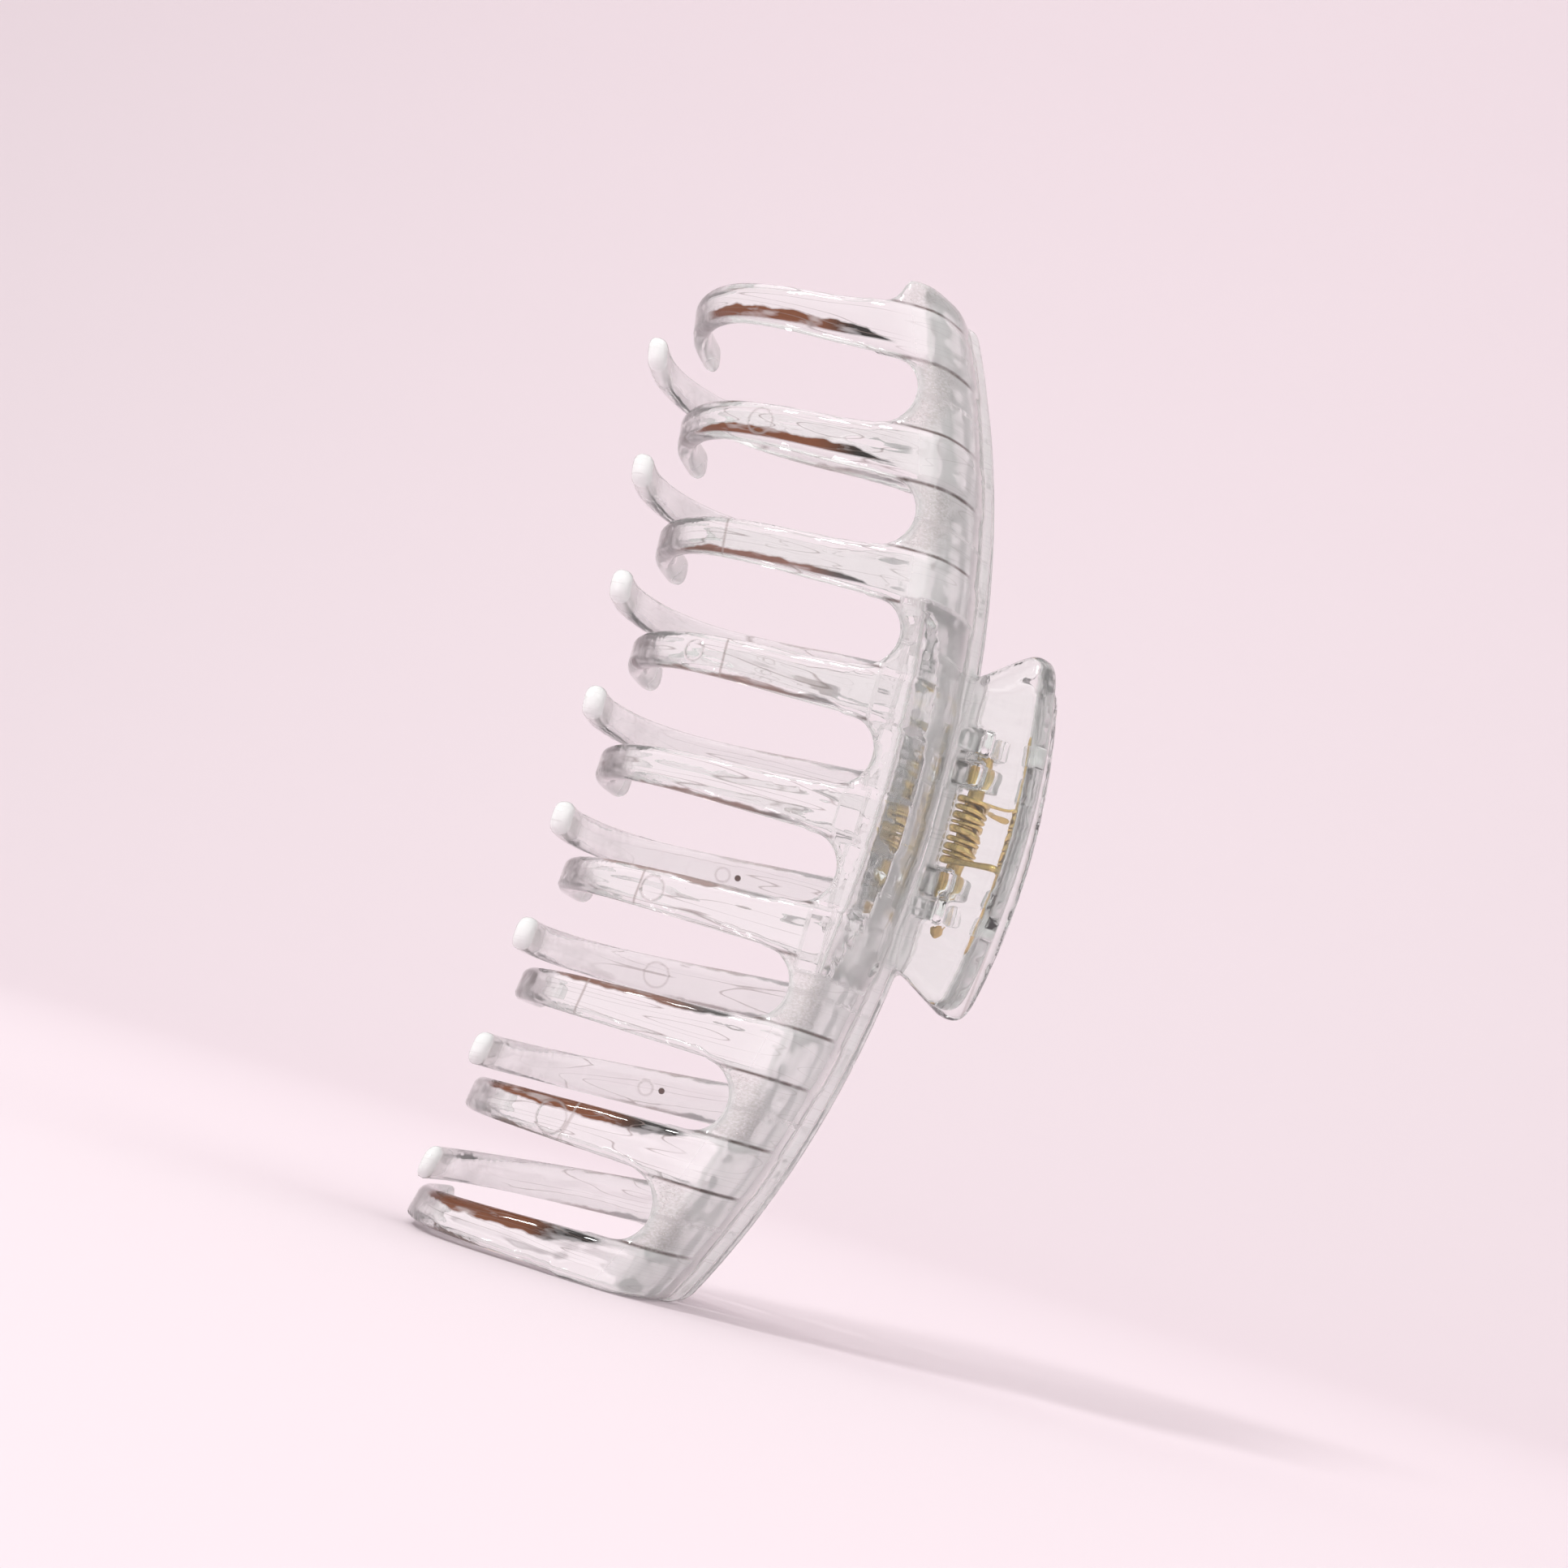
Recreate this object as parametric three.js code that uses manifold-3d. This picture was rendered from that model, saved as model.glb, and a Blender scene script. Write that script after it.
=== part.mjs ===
// A large sprung claw clip for hair: two toothed jaws hinged on a pin, closed by a torsion spring.
// Millimetres. +Z runs along the clip, the teeth point to -X, the finger handles to +X, and the jaws
// open along Y. The hinge axis is parallel to Z. The clip stands on its lower end, at Z = 0.
import * as THREE from 'three';
import { mergeVertices } from 'three/addons/utils/BufferGeometryUtils.js';
import Module from 'manifold-3d';

const wasm = await Module();
wasm.setup();

// ---- Driving dimensions ----
const pitch = 12.6; // tooth to tooth along the jaw
const frontTeeth = 9;
const rearTeeth = 8; // one in each gap of the front row
const rearLean = 0.065; // how far the rear teeth lean down, per millimetre along them
const rearTipSlope = 0.045; // how far the rear tips move back, per millimetre of height below the middle
const toothWidth = 5.05;
const toothTipWidth = 3.5;
const wallThickness = 2.9;
const tipThickness = 2.2;
const webRecess = 0.45; // how far the webs lie below the ribs
const backEdgeDepth = 4.8; // half the distance between the two jaws' back edges
const backEdgeSet = 4.2; // from the pin's axis back to the back edge, at mid-length
const backEdgeBow = 9.3; // how far its ends are set back, by the square of the height
const backEdgeCurl = 2.2; // and by its fourth power
const middleReach = 38.1; // back edge to furthest point of the tooth, at mid-length
const tipLineBow = 4.6;
const tipLineCurl = 0.7;
const notchDepth = 6.8; // from the back edge to the round end of each gap between teeth
const endNotchDepth = 5.8; // the same, past the last tooth
const endNotchRadius = 2.6;
const endTrim = 0.6; // how much the upper end is short of half a pitch past the last tooth
const lipHeight = 0.9; // rim along the back edge
const lipWall = 2.8;
const handleSplay = THREE.MathUtils.degToRad(36);
const handleThickness = 3.5;
const handleBaseHalf = 16.2;
const handleCornerHalf = 19.9;
const handleCornerReach = 8.2;
const handleReach = 10.8;
const handleRoot = -1.6; // how far the plate is sunk in the back edge
const handleCornerRadius = 1.6;
const pinRadius = 0.9;
const pinHalfLength = 11.8;
const pinChamfer = 0.5;
const boreRadius = 1.0;
const lugRadius = 2.2;
const lugWidth = 2.4;
const lugSink = 0.8; // how far a lug's foot is sunk in the handle
const frontLugOffset = 5.9; // lug centres, either side of the middle
const rearLugOffset = 9.2;
const windowHeight = 2.4;
const windowNear = 0.6;
const windowFar = 3.4;
const windowPast = 0.8; // how far the cut goes past each face of the handle
const wireRadius = 0.35;
const coilRadius = 1.5;
const coilHalfLength = 3.6;
const coilTurns = 8;
const legReach = 7.0;
const legLean = 0.7; // how far a leg's end leans to its handle

// ---- Derived lengths ----
const jawLength = toothWidth / 2 + (frontTeeth - 0.5) * pitch - endTrim;
const middleZ = toothWidth / 2 + ((frontTeeth - 0.5) * pitch) / 2;
const halfSpan = ((frontTeeth - 0.5) * pitch) / 2;
const notchRadius = (pitch - toothWidth) / 2;
const webReach = notchDepth + notchRadius;

// The tooth's outer face, from the back edge to the tip, at mid-length:
// x is the reach from the back edge, y the distance outward from the hinge plane.
const outerFace = new THREE.SplineCurve([
  new THREE.Vector2(0, backEdgeDepth),
  new THREE.Vector2(0.9, 11.5),
  new THREE.Vector2(3.4, 16.3),
  new THREE.Vector2(8.5, 17.0),
  new THREE.Vector2(16, 15.6),
  new THREE.Vector2(24, 14.5),
  new THREE.Vector2(31, 11.2),
  new THREE.Vector2(35.8, 4.2),
  new THREE.Vector2(38, -4.8),
  new THREE.Vector2(37.8, -14.1),
]);

// The back edge and the line of the tips are bowed towards +X.
function backEdgeX(z) {
  const s = (z - middleZ) / halfSpan;
  return -backEdgeSet - backEdgeBow * s ** 2 - backEdgeCurl * s ** 4;
}

function tipLineX(z, slope) {
  const s = (z - middleZ) / halfSpan;
  const bow = tipLineBow * s ** 2 + tipLineCurl * s ** 4;
  return backEdgeX(middleZ) - middleReach - bow - slope * (z - middleZ);
}

// ---- Solids ----
function toSolid(geometry) {
  const bare = geometry.clone();
  bare.deleteAttribute('normal');
  bare.deleteAttribute('uv');
  const merged = mergeVertices(bare, 1e-4);
  const vertProperties = new Float32Array(merged.attributes.position.array);
  const triVerts = new Uint32Array(merged.index.array);
  return new wasm.Manifold(new wasm.Mesh({ numProp: 3, vertProperties, triVerts }));
}

function toGeometry(solid) {
  const mesh = solid.getMesh();
  const geometry = new THREE.BufferGeometry();
  geometry.setAttribute('position', new THREE.BufferAttribute(new Float32Array(mesh.vertProperties), 3));
  geometry.setIndex(Array.from(mesh.triVerts));
  geometry.computeVertexNormals();
  return geometry;
}

function boxSolid(lowX, highX, lowY, highY, lowZ, highZ) {
  const geometry = new THREE.BoxGeometry(highX - lowX, highY - lowY, highZ - lowZ);
  geometry.translate((lowX + highX) / 2, (lowY + highY) / 2, (lowZ + highZ) / 2);
  return toSolid(geometry);
}

// ---- The curved section, shared by teeth and webs ----
function facePoint(t, inset) {
  const point = outerFace.getPoint(t);
  const tangent = outerFace.getTangent(t);
  return new THREE.Vector2(point.x + tangent.y * inset, point.y - tangent.x * inset);
}

function sectionShape(endT, steps, recess) {
  const outline = [];
  for (let i = 0; i <= steps; i++) {
    const t = (endT * i) / steps;
    const ramp = THREE.MathUtils.smoothstep(outerFace.getPoint(t).x, 0, 3);
    outline.push(facePoint(t, recess * ramp));
  }
  for (let i = steps; i >= 0; i--) {
    const t = (endT * i) / steps;
    outline.push(facePoint(t, THREE.MathUtils.lerp(wallThickness, tipThickness, t)));
  }
  return outline.map((point) => new THREE.Vector2(-point.x, -point.y));
}

// Moves a straight web onto the bowed back edge.
function bowWeb(geometry) {
  const position = geometry.attributes.position;
  for (let i = 0; i < position.count; i++) {
    position.setX(i, position.getX(i) + backEdgeX(position.getZ(i)));
  }
  return geometry;
}

// Stretches a straight tooth from the back edge to the tip line, narrows it to its tip and leans it.
function bowTooth(geometry, toothZ, lean, slope) {
  const position = geometry.attributes.position;
  for (let i = 0; i < position.count; i++) {
    const reach = -position.getX(i);
    const z = position.getZ(i);
    const beyond = Math.max(reach - webReach, 0);
    const share = Math.min(beyond / (middleReach - webReach), 1);
    const full = backEdgeX(z) - tipLineX(z, slope);
    const stretch = (full - webReach) / (middleReach - webReach);
    const narrow = THREE.MathUtils.lerp(1, toothTipWidth / toothWidth, share);
    position.setX(i, backEdgeX(z) - Math.min(reach, webReach) - beyond * stretch);
    position.setZ(i, toothZ + (z - toothZ) * narrow - lean * beyond);
  }
  return geometry;
}

function toothSolid(z, lean, slope) {
  const shape = new THREE.Shape(sectionShape(1, 22, 0));
  const geometry = new THREE.ExtrudeGeometry(shape, {
    depth: toothWidth,
    steps: 2,
    bevelEnabled: false,
  });
  geometry.translate(0, 0, z - toothWidth / 2);
  return toSolid(bowTooth(geometry, z, lean, slope));
}

function webSolid() {
  let webEnd = 0;
  while (outerFace.getPoint(webEnd).x < webReach) {
    webEnd += 0.002;
  }
  const outline = sectionShape(webEnd, 9, webRecess);
  const innerX = outline[outline.length - 1].x;
  outline.push(new THREE.Vector2(innerX, lipWall - backEdgeDepth));
  outline.push(new THREE.Vector2(lipHeight, lipWall - backEdgeDepth));
  outline.push(new THREE.Vector2(lipHeight, lipHeight - backEdgeDepth));
  const geometry = new THREE.ExtrudeGeometry(new THREE.Shape(outline), {
    depth: jawLength,
    steps: 22,
    bevelEnabled: false,
  });
  return toSolid(bowWeb(geometry));
}

// The round-ended gap between two teeth.
function notchSolid(z) {
  const centreX = backEdgeX(z) - webReach;
  const deepest = -2 * outerFace.getPoint(0.4).y;
  const round = new THREE.CylinderGeometry(notchRadius, notchRadius, -deepest, 24);
  round.translate(centreX, deepest / 2, z);
  const slot = boxSolid(centreX - pitch, centreX, deepest, 0, z - notchRadius, z + notchRadius);
  return toSolid(round).add(slot);
}

// The step past the last tooth, whose side is at z: a hollow corner, then clear to the jaw's end.
function endNotchSolid(z, end) {
  const radius = endNotchRadius;
  const centreX = backEdgeX(z + (end * pitch) / 2) - endNotchDepth - radius;
  const centreZ = z + end * radius;
  const deepest = -2 * outerFace.getPoint(0.4).y;
  const round = new THREE.CylinderGeometry(radius, radius, -deepest, 24);
  round.translate(centreX, deepest / 2, centreZ);
  const low = Math.min(z, z + end * pitch);
  const past = Math.min(centreZ, centreZ + end * pitch);
  const beside = boxSolid(centreX - pitch, centreX, deepest, 0, low, low + pitch);
  const clear = boxSolid(centreX - pitch, centreX + radius, deepest, 0, past, past + pitch);
  return toSolid(round).add(beside).add(clear);
}

// ---- The handle, in its own frame ----
// Local X runs out along the plate from the back edge, local Y is towards the hinge plane.
const handleFrame = new THREE.Matrix4()
  .makeTranslation(backEdgeX(middleZ), -backEdgeDepth, middleZ)
  .multiply(new THREE.Matrix4().makeRotationZ(-handleSplay));
const pinInHandle = new THREE.Vector3(0, 0, middleZ).applyMatrix4(handleFrame.clone().invert());

function plateShape() {
  const corner = handleCornerRadius;
  const side = handleCornerReach;
  const half = handleCornerHalf;
  const bulge = 2 * handleReach - side;
  const shape = new THREE.Shape();
  shape.moveTo(handleRoot, -handleBaseHalf);
  shape.lineTo(0, -handleBaseHalf);
  shape.lineTo(side - corner, -half + corner * 0.3);
  shape.quadraticCurveTo(side, -half, side + 0.3, corner - half);
  shape.quadraticCurveTo(bulge, 0, side + 0.3, half - corner);
  shape.quadraticCurveTo(side, half, side - corner, half - corner * 0.3);
  shape.lineTo(0, handleBaseHalf);
  shape.lineTo(handleRoot, handleBaseHalf);
  return shape;
}

function plateSolid() {
  const geometry = new THREE.ExtrudeGeometry(plateShape(), {
    depth: handleThickness,
    curveSegments: 12,
    bevelEnabled: false,
  });
  geometry.rotateX(Math.PI / 2);
  geometry.translate(0, handleThickness, 0);
  return toSolid(geometry.applyMatrix4(handleFrame));
}

function lugSolid(offset) {
  const shape = new THREE.Shape();
  const sunk = handleThickness - lugSink;
  shape.moveTo(pinInHandle.x - lugRadius, sunk);
  shape.lineTo(pinInHandle.x + lugRadius, sunk);
  shape.absarc(pinInHandle.x, pinInHandle.y, lugRadius, 0, Math.PI, false);
  const hole = new THREE.Path();
  hole.absarc(pinInHandle.x, pinInHandle.y, boreRadius, 0, Math.PI * 2, true);
  shape.holes.push(hole);
  const geometry = new THREE.ExtrudeGeometry(shape, {
    depth: lugWidth,
    curveSegments: 12,
    bevelEnabled: false,
  });
  geometry.translate(0, 0, offset - lugWidth / 2);
  return toSolid(geometry.applyMatrix4(handleFrame));
}

function windowSolid(offset) {
  const depth = handleThickness + 2 * windowPast;
  const geometry = new THREE.BoxGeometry(windowFar - windowNear, depth, windowHeight);
  geometry.translate((windowNear + windowFar) / 2, handleThickness / 2, offset);
  return toSolid(geometry.applyMatrix4(handleFrame));
}

// ---- One jaw, made on the front side; the rear one is its mirror image with other teeth ----
function bodySolid(firstTooth, teeth, lean, slope) {
  const toothZ = (i) => toothWidth / 2 + (firstTooth + i) * pitch;
  let body = webSolid();
  for (let i = 0; i < teeth - 1; i++) {
    body = body.subtract(notchSolid(toothZ(i) + pitch / 2));
  }
  body = body.subtract(endNotchSolid(toothZ(teeth - 1) + toothWidth / 2, 1));
  if (firstTooth > 0) {
    body = body.subtract(endNotchSolid(toothZ(0) - toothWidth / 2, -1));
  }
  for (let i = 0; i < teeth; i++) {
    body = body.add(toothSolid(toothZ(i), lean, slope));
  }
  return body;
}

function withHandle(body, lugOffset, windowOffset) {
  let jaw = body.add(plateSolid());
  for (const side of [-1, 1]) {
    jaw = jaw.subtract(windowSolid(side * windowOffset));
    jaw = jaw.add(lugSolid(side * lugOffset));
  }
  return jaw;
}

// ---- Pin and spring ----
function pinGeometry() {
  const profile = [
    new THREE.Vector2(0, -pinHalfLength),
    new THREE.Vector2(pinRadius - pinChamfer, -pinHalfLength),
    new THREE.Vector2(pinRadius, pinChamfer - pinHalfLength),
    new THREE.Vector2(pinRadius, pinHalfLength - pinChamfer),
    new THREE.Vector2(pinRadius - pinChamfer, pinHalfLength),
    new THREE.Vector2(0, pinHalfLength),
  ];
  return new THREE.LatheGeometry(profile, 24).rotateX(Math.PI / 2);
}

// The wire comes in along the rear handle, winds round the pin and leaves along the front handle.
class SpringWire extends THREE.Curve {
  constructor() {
    super();
    this.startAngle = Math.PI / 2 + handleSplay;
    this.turnAngle = 2 * Math.PI * coilTurns + Math.PI - 2 * handleSplay;
    this.coilLength = this.turnAngle * coilRadius;
    this.total = this.coilLength + 2 * legReach;
  }

  legPoint(along, side) {
    const lean = legLean * THREE.MathUtils.smoothstep(along, 0, legReach);
    const cos = Math.cos(handleSplay);
    const sin = Math.sin(handleSplay);
    const out = coilRadius + lean;
    return new THREE.Vector3(
      along * cos - out * sin,
      side * (along * sin + out * cos),
      side * coilHalfLength,
    );
  }

  getPoint(t, target = new THREE.Vector3()) {
    const along = t * this.total;
    if (along < legReach) {
      return target.copy(this.legPoint(legReach - along, 1));
    }
    if (along > legReach + this.coilLength) {
      return target.copy(this.legPoint(along - legReach - this.coilLength, -1));
    }
    const share = (along - legReach) / this.coilLength;
    const angle = this.startAngle + share * this.turnAngle;
    const z = coilHalfLength * (1 - 2 * share);
    return target.set(coilRadius * Math.cos(angle), coilRadius * Math.sin(angle), z);
  }
}

function springGeometry() {
  const wire = new THREE.Shape();
  wire.absarc(0, 0, wireRadius, 0, Math.PI * 2, false);
  const geometry = new THREE.ExtrudeGeometry(wire, {
    steps: 136,
    curveSegments: 3,
    extrudePath: new SpringWire(),
    bevelEnabled: false,
  });
  return toGeometry(toSolid(geometry));
}

// ---- Assembly ----
const clearPlastic = { color: 0xf1efec, roughness: 0.08, metalness: 0 };
const goldSteel = { color: 0xc9a24b, roughness: 0.25, metalness: 1 };

function addPart(group, name, geometry, material) {
  const mesh = new THREE.Mesh(geometry, new THREE.MeshStandardMaterial(material));
  mesh.name = name;
  group.add(mesh);
  return mesh;
}

const clip = new THREE.Group();
const frontBody = bodySolid(0, frontTeeth, 0, 0);
const rearBody = bodySolid(0.5, rearTeeth, rearLean, rearTipSlope);
const frontJaw = withHandle(frontBody, frontLugOffset, rearLugOffset);
const rearJaw = withHandle(rearBody, rearLugOffset, frontLugOffset).mirror([0, 1, 0]);
addPart(clip, 'front_jaw', toGeometry(frontJaw), clearPlastic);
addPart(clip, 'rear_jaw', toGeometry(rearJaw), clearPlastic);
const hinge = new THREE.Group();
hinge.position.z = middleZ;
addPart(hinge, 'hinge_pin', pinGeometry(), goldSteel);
addPart(hinge, 'spring', springGeometry(), goldSteel);
clip.add(hinge);

// The origin is at the middle of the lower end.
const extent = new THREE.Box3().setFromObject(clip);
clip.position.x = -(extent.min.x + extent.max.x) / 2;

export default clip;
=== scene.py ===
import math

import bpy
import numpy as np
from mathutils import Matrix, Vector


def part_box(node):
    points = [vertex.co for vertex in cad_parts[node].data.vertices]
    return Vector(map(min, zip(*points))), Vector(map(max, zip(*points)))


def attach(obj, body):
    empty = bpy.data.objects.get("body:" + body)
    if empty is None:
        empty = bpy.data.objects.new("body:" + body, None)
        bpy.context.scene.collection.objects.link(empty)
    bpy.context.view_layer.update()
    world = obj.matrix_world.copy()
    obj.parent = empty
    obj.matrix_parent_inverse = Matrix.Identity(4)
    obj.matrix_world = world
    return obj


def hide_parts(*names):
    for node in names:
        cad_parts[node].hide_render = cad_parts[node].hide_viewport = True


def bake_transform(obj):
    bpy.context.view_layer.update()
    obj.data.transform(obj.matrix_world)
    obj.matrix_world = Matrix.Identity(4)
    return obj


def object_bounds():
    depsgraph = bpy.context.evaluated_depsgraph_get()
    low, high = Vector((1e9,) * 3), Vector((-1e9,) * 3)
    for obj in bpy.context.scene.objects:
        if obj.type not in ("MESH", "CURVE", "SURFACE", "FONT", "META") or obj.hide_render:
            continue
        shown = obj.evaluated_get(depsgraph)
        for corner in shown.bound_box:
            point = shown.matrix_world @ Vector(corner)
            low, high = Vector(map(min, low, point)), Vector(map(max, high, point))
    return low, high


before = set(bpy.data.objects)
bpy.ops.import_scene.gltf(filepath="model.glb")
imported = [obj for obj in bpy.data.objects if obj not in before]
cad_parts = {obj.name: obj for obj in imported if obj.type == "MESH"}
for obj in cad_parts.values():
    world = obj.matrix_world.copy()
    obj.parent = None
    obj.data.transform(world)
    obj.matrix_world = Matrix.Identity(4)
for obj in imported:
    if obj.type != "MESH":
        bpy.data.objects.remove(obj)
cad_low, cad_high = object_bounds()

# ---- Sizes, in millimetres, the same as the CAD model's ----
PITCH = 12.6  # tooth to tooth
FRONT_TEETH = 9
REAR_TEETH = 8
TOOTH_W = 5.05
TIP_W = 3.5
WALL = 2.9
TIP_WALL = 2.2
RECESS = 0.45  # how far the webs lie below the ribs
NOTCH_DEPTH = 6.8
END_NOTCH_DEPTH = 5.8
END_NOTCH_R = 2.6
END_NOTCH_BACK = 2  # how far the step is followed into the last tooth
NOT_CUT = -9
END_TRIM = 0.6
LIP_H = 0.9
LIP_WALL = 2.8
BACK = 4.8  # half the distance between the two back edges
BACK_SET = 4.2  # from the pin's axis to a back edge, at mid-length
BACK_BOW = 9.3  # how far a back edge's ends are set back, by the square of the height
BACK_CURL = 2.2  # and by its fourth power
REACH = 38.1  # back edge to the furthest point of a tooth, at mid-length
TIP_BOW = 4.6
TIP_CURL = 0.7
REAR_LEAN = 0.065
REAR_SLOPE = 0.045
SPLAY = math.radians(36)
PLATE_T = 3.5
PLATE_ROOT = 1.6  # how far a handle's plate is sunk in the back edge
PLATE_BASE_HALF = 16.2
WINDOW_NEAR = 0.6
WINDOW_FAR = 3.4
WINDOW_H = 2.4
WINDOW_PAST = 0.8
PIN_R = 0.9
PIN_HALF = 11.8
BORE_R = 1.0
LUG_R = 2.2
LUG_W = 2.4
FRONT_LUG = 5.9
REAR_LUG = 9.2
WIRE_R = 0.35
COIL_R = 1.5
COIL_HALF = 3.6
COIL_TURNS = 8
LEG = 7.0
LEG_LEAN = 0.7
HALF_SPAN = (FRONT_TEETH - 0.5) * PITCH / 2
MIDDLE = TOOTH_W / 2 + HALF_SPAN
LENGTH = TOOTH_W / 2 + (FRONT_TEETH - 0.5) * PITCH - END_TRIM
NOTCH_R = (PITCH - TOOTH_W) / 2
WEB = NOTCH_DEPTH + NOTCH_R
# a tooth's outer face from the back edge to the tip, as (reach, out)
SECTION = [(0, 4.8), (0.9, 11.5), (3.4, 16.3), (8.5, 17.0), (16, 15.6), (24, 14.5), (31, 11.2)]
SECTION += [(35.8, 4.2), (38, -4.8), (37.8, -14.1)]
CURVE_POINTS = 400
BEFORE_HOOK = 0.85  # the share of the curve before its reach turns back

# ---- Shape details that only the looks have, in millimetres ----
TIP_ROUND = 1.6
OUTER_EDGE, OUTER_EDGE_GROWTH = 0.62, 0.25  # a tooth's edge radius at the body, and what it gains
INNER_EDGE, INNER_EDGE_GROWTH = 0.5, 0.6
EDGE_GROWS = (6, 16)  # the reach over which it gains it
RECESS_IN = (0, 3)  # the reach over which the webs sink below the ribs
WEB_EDGE = 0.7
WEB_PAST = 0.3
TOOTH_BLEND = 0.55
LIP_INNER = 2.87
LIP_BELOW = 0.1
LIP_EDGE, LIP_CORNER, LIP_BLEND = 0.5, 0.3, 0.35
ROOT_PAST = 0.15
LOWER_END, UPPER_END = 1.5, 1.2
PLATE_ARC_R = 69.6
PLATE_ARC_V = -58.72  # the centre of the plate's outer arc
FLARE_COS, FLARE_SIN = 0.8987, 0.4385  # the slope of the plate's two ends
PLATE_CORNER, PLATE_EDGE, PLATE_BLEND = 3.0, 1.5, 0.9
WINDOW_EDGE = 0.5
LUG_FOOT = 2.6
LUG_EDGE, LUG_BLEND = 0.5, 0.6
BORE_EDGE = 0.2
CLEARANCE = 0.02

# ---- Marks of the moulding, with painted shade and painted reflections: reaches, depths and sizes in millimetres ----
HANDLE_FROM, HANDLE_HALF = 0.3, 20  # where the marks of the body end and the handle starts
# reach of the witness line across each front tooth, from the lower end
NO_LINE = -9
CROSS_LINES = [NO_LINE, 21.4, 27.1, 25.9, NO_LINE, 24.6, 27.4, NO_LINE, NO_LINE]
# painted reflection: a dark streak along each front tooth, from the lower end: inner edge, outer edge
# and strength
STREAK_START = np.array([0.7, 0.8, 1.45, 1.6, 1.75, 1.7, 1.2, 0.55, 0.45])
STREAK_END = np.array([2.4, 2.35, 2.3, 2.3, 2.35, 2.3, 1.9, 1.6, 1.7])
STREAK_STRENGTH = np.array([1.0, 1.0, 0.95, 0.8, 0.85, 0.85, 0.95, 1.0, 1.0])
STREAK_TURN = 4  # the teeth below this one have the streak on their upper side
# reaches where the painted reflection streak thins, tapers, fades in and out and turns warm, and the
# rear jaw's streak edges and strength
STREAK_THINS = (8.5, 14)
STREAK_TAPERS = (29, 35)
STREAK_IN, STREAK_OUT = (8.2, 9.5), (32.5, 35)
REAR_STREAK = (1.85, 2.4, 0.6)
REAR_STREAK_IN, REAR_STREAK_OUT = (9.0, 10.5), (17, 31)
STREAK_WARMS = (13, 19)
FROST_IN, FROST_OUT = (0.3, 1.0), (2.6, 4.6)  # distances from a notch
FROST_REACH = (9.5, 11.5)
FROST_SKIN, BODY_SKIN, TOOTH_SKIN = 1.2, 1.3, 1.5
FROST_ASIDE = 0.3
# reaches where the painted shade along the rib edges fades in and out, and its share on the rear jaw
CREASE_IN, CREASE_OUT = (0.4, 1.2), (8.0, 11.5)
REAR_CREASE = 0.35
MILK_REACH, MILK_DEPTH = (3.5, 6.0), (1.2, 2.4)
MILK_ENDS, MILK_LOSS = (15, 22), 0.7
VEIL, VEIL_AT_BACK, VEIL_REACH = 0.12, 0.26, (4.5, 9.5)
TIP_FROM, TIP_TO = 12.0, 2.0  # distances before a tooth's end
TIP_REACH = 20
FRONT_TIP = 0.5
# a dark cloudy patch where a tooth turns into its hook: its distance before the tooth's end, width and
# least reach
HOOK_DARK_BEFORE, HOOK_DARK_W, HOOK_DARK_REACH = 18.0, 3.6, 25
REAR_HOOK_DARK = 0.1
LINES_IN, LINES_OUT = (7, 10), (30, 34)
LINES_LEAST = 0.25
# moulding rings as (tooth from the lower end, reach, radius in metres); specks as (tooth, reach)
FRONT_RINGS = [(7, 25.2, 0.0014), (5, 28.0, 0.0011), (1, 23.6, 0.0017), (3, 24.4, 0.0013)]
REAR_RINGS = [(2, 26.5, 0.0014), (3, 23.0, 0.0008), (1, 21.6, 0.0008), (5, 24.0, 0.0012)]
REAR_SPECKS = [(1, 19.4), (3, 21.0)]
SPECK_R = 0.0004
RING_W = 0.00022

# ---- Colours of the plastic, and of its painted shade and painted reflections ----
CLEAR = (0.978, 1.0, 0.988, 1)
# painted shade where the surface turns away from view
PAINTED_EDGE_SHADE = (0.36, 0.33, 0.31, 1)
# painted reflection: the dark streak's colours at the root and at the hook
PAINTED_REFLECTION_ROOT = (0.01, 0.008, 0.007, 1)
PAINTED_REFLECTION_HOOK = (0.15, 0.042, 0.014, 1)
# dark brown for the patch where a tooth turns into its hook
HOOK_DARK = (0.055, 0.033, 0.024, 1)
FLOW_LINE = (0.22, 0.17, 0.15, 1)
# painted shade along the rib edges
RIB_EDGE_SHADE = (0.10, 0.07, 0.06, 1)
RING = (0.4, 0.36, 0.34, 1)
SPECK = (0.03, 0.015, 0.012, 1)
ETCHED = (0.6, 0.57, 0.55, 1)
WITNESS = (0.4, 0.34, 0.31, 1)

# ---- Meshing ----
GRID_LOW = (-50.0, -15.5, -0.8)
GRID_HIGH = (8.0, 18.2, LENGTH + 0.8)
STEP = 0.5

pin_low, pin_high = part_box("hinge_pin")
PIN_X = (pin_low.x + pin_high.x) / 2 * 1000


# ---- Small helpers for distance fields ----
def smin(a, b, k):
    """The smaller of two fields, blended over the width k."""
    h = np.maximum(k - np.abs(a - b), 0) / k
    return np.minimum(a, b) - h * h * k / 4


def smax(a, b, k):
    return -smin(-a, -b, k)


def smooth(x, low, high):
    t = np.clip((x - low) / (high - low), 0, 1)
    return t * t * (3 - 2 * t)


def fade(x, low, high):
    return 1 - smooth(x, low, high)


def slab(x, low, high):
    """Below zero between the two bounds."""
    return np.abs(x - (low + high) / 2) - (high - low) / 2


def unit(v):
    return v / np.linalg.norm(v)


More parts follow.
